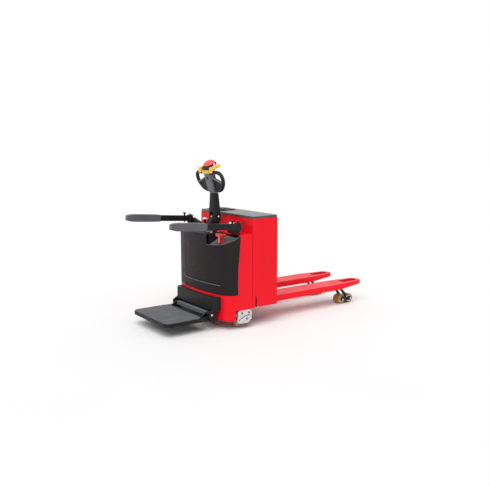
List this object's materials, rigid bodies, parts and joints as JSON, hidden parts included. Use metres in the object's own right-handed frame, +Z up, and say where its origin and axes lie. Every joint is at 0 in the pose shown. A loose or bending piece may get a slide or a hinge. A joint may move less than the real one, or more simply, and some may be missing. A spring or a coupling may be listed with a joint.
{
  "type": "electric pallet truck",
  "caption": "Ride-on electric pallet truck with upright tiller, folding step, side arms, battery box and forks on load wheels.",
  "frame": {"origin": "on the floor, under the middle of the truck's bounding box", "axes": "+X along the forks to their tips, +Y to the truck's left seen from the operator facing the forks, +Z up"},
  "size_m": [2.02, 0.749, 1.2829],
  "materials": {
    "red_paint": "gloss",
    "cover_black": "fine texture",
    "black_paint": "satin",
    "handle_black": "satin",
    "head_grey": "satin",
    "lid_black": "gloss",
    "step_rubber": "ribbed",
    "grip_grey": "soft",
    "bright_steel": "zinc plated",
    "cast_iron": "cast",
    "aluminium_case": "cast",
    "battery_case": "moulded",
    "yellow_plastic": "satin",
    "red_plastic": "satin",
    "grey_plastic": "satin",
    "polyurethane": "cast polyurethane",
    "drive_tread": "rubber tread"
  },
  "bodies": {
    "chassis": {"tractor_frame": "red_paint", "front_cover": "cover_black", "platform_bracket": "black_paint", "hydraulic_unit": "aluminium_case", "motor_controller": "aluminium_case", "lift_cylinder": "cast_iron", "arm_bracket_near": "black_paint", "arm_bracket_far": "black_paint", "caster_guard_near": "bright_steel", "caster_guard_far": "bright_steel"},
    "steering": {"drive_gearbox": "cast_iron", "drive_motor": "cast_iron", "steering_shaft": "bright_steel", "tiller_base": "black_paint"},
    "drive_wheel": {"drive_tyre": "drive_tread", "drive_hub": "cast_iron"},
    "tiller": {"tiller_column": "black_paint", "tiller_head": "head_grey", "switch_collar": "handle_black", "head_band": "yellow_plastic", "handle_loop_near": "handle_black", "handle_loop_far": "handle_black"},
    "throttle": {"throttle": "yellow_plastic"},
    "belly_button": {"belly_button": "red_plastic"},
    "horn_button": {"horn_button": "handle_black"},
    "lift_button": {"lift_button": "grey_plastic"},
    "lower_button": {"lower_button": "grey_plastic"},
    "disconnect": {"emergency_handle": "red_plastic"},
    "key": {"ignition_key": "bright_steel"},
    "step": {"step_plate": "black_paint", "step_mat": "step_rubber"},
    "carriage": {"battery_box": "red_paint", "battery": "battery_case", "lift_rod": "bright_steel", "fork_near": "red_paint", "fork_far": "red_paint"},
    "lid": {"battery_lid": "lid_black"},
    "crank": {"bell_crank": "cast_iron"},
    "side_arm_near": {"side_arm_near": "black_paint", "arm_grip_near": "grip_grey"},
    "arm_latch_near": {"arm_latch_near": "bright_steel"},
    "caster_near": {"caster_fork_near": "bright_steel"},
    "caster_wheel_near": {"caster_wheel_near": "polyurethane"},
    "push_rod_near": {"push_rod_near": "bright_steel"},
    "load_arm_near": {"load_arm_near": "black_paint"},
    "bogie_pin_near": {"bogie_pin_near": "bright_steel"},
    "bogie_near": {"bogie_near": "black_paint"},
    "load_wheel_near_rear": {"load_wheel_near_rear": "polyurethane"},
    "load_wheel_near_front": {"load_wheel_near_front": "polyurethane"},
    "side_arm_far": {"side_arm_far": "black_paint", "arm_grip_far": "grip_grey"},
    "arm_latch_far": {"arm_latch_far": "bright_steel"},
    "caster_far": {"caster_fork_far": "bright_steel"},
    "caster_wheel_far": {"caster_wheel_far": "polyurethane"},
    "push_rod_far": {"push_rod_far": "bright_steel"},
    "load_arm_far": {"load_arm_far": "black_paint"},
    "bogie_pin_far": {"bogie_pin_far": "bright_steel"},
    "bogie_far": {"bogie_far": "black_paint"},
    "load_wheel_far_rear": {"load_wheel_far_rear": "polyurethane"},
    "load_wheel_far_front": {"load_wheel_far_front": "polyurethane"}
  },
  "joints": [
    {"name": "steer", "type": "hinge", "parent": "chassis", "child": "steering", "pos_m": [-0.435, 0, 0.28], "axis": [0, 0, 1], "range_deg": [-90, 90]},
    {"name": "drive_spin", "type": "hinge", "parent": "steering", "child": "drive_wheel", "pos_m": [-0.435, 0, 0.115], "axis": [0, 1, 0], "continuous": true},
    {"name": "tiller_tilt", "type": "hinge", "parent": "steering", "child": "tiller", "pos_m": [-0.403, 0, 0.84], "axis": [0, -1, 0], "range_deg": [0, 60], "stiffness_Nm_per_rad": 22, "springref_deg": -20.05},
    {"name": "throttle_turn", "type": "hinge", "parent": "tiller", "child": "throttle", "pos_m": [-0.4679, 0, 1.21898], "axis": [0, 1, 0], "range_deg": [-15, 15], "stiffness_Nm_per_rad": 0.6},
    {"name": "belly_button_press", "type": "slide", "parent": "tiller", "child": "belly_button", "axis": [0.3256, 0, -0.9455], "range_m": [0, 0.003], "stiffness_N_per_m": 1500, "springref_m": -0.002},
    {"name": "horn_press", "type": "slide", "parent": "tiller", "child": "horn_button", "axis": [0.9455, 0, 0.3256], "range_m": [0, 0.003], "stiffness_N_per_m": 400, "springref_m": -0.002},
    {"name": "lift_button_press", "type": "slide", "parent": "tiller", "child": "lift_button", "axis": [-0.9455, 0, -0.3256], "range_m": [0, 0.003], "stiffness_N_per_m": 400, "springref_m": -0.002},
    {"name": "lower_button_press", "type": "slide", "parent": "tiller", "child": "lower_button", "axis": [-0.9455, 0, -0.3256], "range_m": [0, 0.003], "stiffness_N_per_m": 400, "springref_m": -0.002},
    {"name": "disconnect_pull", "type": "slide", "parent": "chassis", "child": "disconnect", "axis": [0, 0, 1], "range_m": [0, 0.03]},
    {"name": "key_turn", "type": "hinge", "parent": "chassis", "child": "key", "pos_m": [-0.505, -0.1, 0.73], "axis": [0, 0, 1], "range_deg": [0, 90]},
    {"name": "step_fold", "type": "hinge", "parent": "chassis", "child": "step", "pos_m": [-0.622, 0, 0.128], "axis": [0, 1, 0], "range_deg": [0, 90]},
    {"name": "lift", "type": "slide", "parent": "chassis", "child": "carriage", "axis": [0, 0, 1], "range_m": [-0.11, 0.01]},
    {"name": "lid_open", "type": "hinge", "parent": "carriage", "child": "lid", "pos_m": [-0.058, 0, 0.844], "axis": [0, 1, 0], "range_deg": [0, 100]},
    {"name": "crank_turn", "type": "hinge", "parent": "carriage", "child": "crank", "pos_m": [-0.19, 0, 0.212], "axis": [0, 1, 0], "range_deg": [-3.5, 35]},
    {"name": "side_arm_swing_near", "type": "hinge", "parent": "chassis", "child": "side_arm_near", "pos_m": [-0.425, -0.345, 0.7915], "axis": [0, 0, -1], "range_deg": [0, 30]},
    {"name": "arm_latch_lift_near", "type": "slide", "parent": "side_arm_near", "child": "arm_latch_near", "axis": [0, 0, 1], "range_m": [0, 0.02], "stiffness_N_per_m": 300, "springref_m": -0.01},
    {"name": "caster_swivel_near", "type": "hinge", "parent": "chassis", "child": "caster_near", "pos_m": [-0.368, -0.283, 0.15], "axis": [0, 0, 1], "continuous": true},
    {"name": "caster_roll_near", "type": "hinge", "parent": "caster_near", "child": "caster_wheel_near", "pos_m": [-0.39, -0.283, 0.0375], "axis": [0, 1, 0], "continuous": true},
    {"name": "push_rod_slide_near", "type": "slide", "parent": "carriage", "child": "push_rod_near", "axis": [1, 0, 0], "range_m": [-0.019, 0.002]},
    {"name": "load_arm_swing_near", "type": "hinge", "parent": "carriage", "child": "load_arm_near", "pos_m": [0.741, -0.1905, 0.162], "axis": [0, 1, 0], "range_deg": [-54.2, 5.2]},
    {"name": "bogie_level_near", "type": "hinge", "parent": "load_arm_near", "child": "bogie_pin_near", "pos_m": [0.82866, -0.1905, 0.066], "axis": [0, 1, 0], "range_deg": [-5.2, 54.2]},
    {"name": "bogie_rock_near", "type": "hinge", "parent": "bogie_pin_near", "child": "bogie_near", "pos_m": [0.82866, -0.1905, 0.066], "axis": [0, 1, 0], "range_deg": [-8, 8]},
    {"name": "load_wheel_near_rear_spin", "type": "hinge", "parent": "bogie_near", "child": "load_wheel_near_rear", "pos_m": [0.78266, -0.1905, 0.04], "axis": [0, 1, 0], "continuous": true},
    {"name": "load_wheel_near_front_spin", "type": "hinge", "parent": "bogie_near", "child": "load_wheel_near_front", "pos_m": [0.87466, -0.1905, 0.04], "axis": [0, 1, 0], "continuous": true},
    {"name": "side_arm_swing_far", "type": "hinge", "parent": "chassis", "child": "side_arm_far", "pos_m": [-0.425, 0.345, 0.7915], "axis": [0, 0, 1], "range_deg": [0, 30]},
    {"name": "arm_latch_lift_far", "type": "slide", "parent": "side_arm_far", "child": "arm_latch_far", "axis": [0, 0, 1], "range_m": [0, 0.02], "stiffness_N_per_m": 300, "springref_m": -0.01},
    {"name": "caster_swivel_far", "type": "hinge", "parent": "chassis", "child": "caster_far", "pos_m": [-0.368, 0.283, 0.15], "axis": [0, 0, 1], "continuous": true},
    {"name": "caster_roll_far", "type": "hinge", "parent": "caster_far", "child": "caster_wheel_far", "pos_m": [-0.39, 0.283, 0.0375], "axis": [0, 1, 0], "continuous": true},
    {"name": "push_rod_slide_far", "type": "slide", "parent": "carriage", "child": "push_rod_far", "axis": [1, 0, 0], "range_m": [-0.019, 0.002]},
    {"name": "load_arm_swing_far", "type": "hinge", "parent": "carriage", "child": "load_arm_far", "pos_m": [0.741, 0.1905, 0.162], "axis": [0, 1, 0], "range_deg": [-54.2, 5.2]},
    {"name": "bogie_level_far", "type": "hinge", "parent": "load_arm_far", "child": "bogie_pin_far", "pos_m": [0.82866, 0.1905, 0.066], "axis": [0, 1, 0], "range_deg": [-5.2, 54.2]},
    {"name": "bogie_rock_far", "type": "hinge", "parent": "bogie_pin_far", "child": "bogie_far", "pos_m": [0.82866, 0.1905, 0.066], "axis": [0, 1, 0], "range_deg": [-8, 8]},
    {"name": "load_wheel_far_rear_spin", "type": "hinge", "parent": "bogie_far", "child": "load_wheel_far_rear", "pos_m": [0.78266, 0.1905, 0.04], "axis": [0, 1, 0], "continuous": true},
    {"name": "load_wheel_far_front_spin", "type": "hinge", "parent": "bogie_far", "child": "load_wheel_far_front", "pos_m": [0.87466, 0.1905, 0.04], "axis": [0, 1, 0], "continuous": true}
  ],
  "couplings": [
    {"joint": "crank_turn", "follows": "lift", "rad_per_m": -5.5055},
    {"joint": "push_rod_slide_near", "follows": "lift", "ratio": 0.17067},
    {"joint": "load_arm_swing_near", "follows": "lift", "rad_per_m": 8.5335},
    {"joint": "bogie_level_near", "follows": "lift", "rad_per_m": -8.5335},
    {"joint": "push_rod_slide_far", "follows": "lift", "ratio": 0.17067},
    {"joint": "load_arm_swing_far", "follows": "lift", "rad_per_m": 8.5335},
    {"joint": "bogie_level_far", "follows": "lift", "rad_per_m": -8.5335}
  ]
}
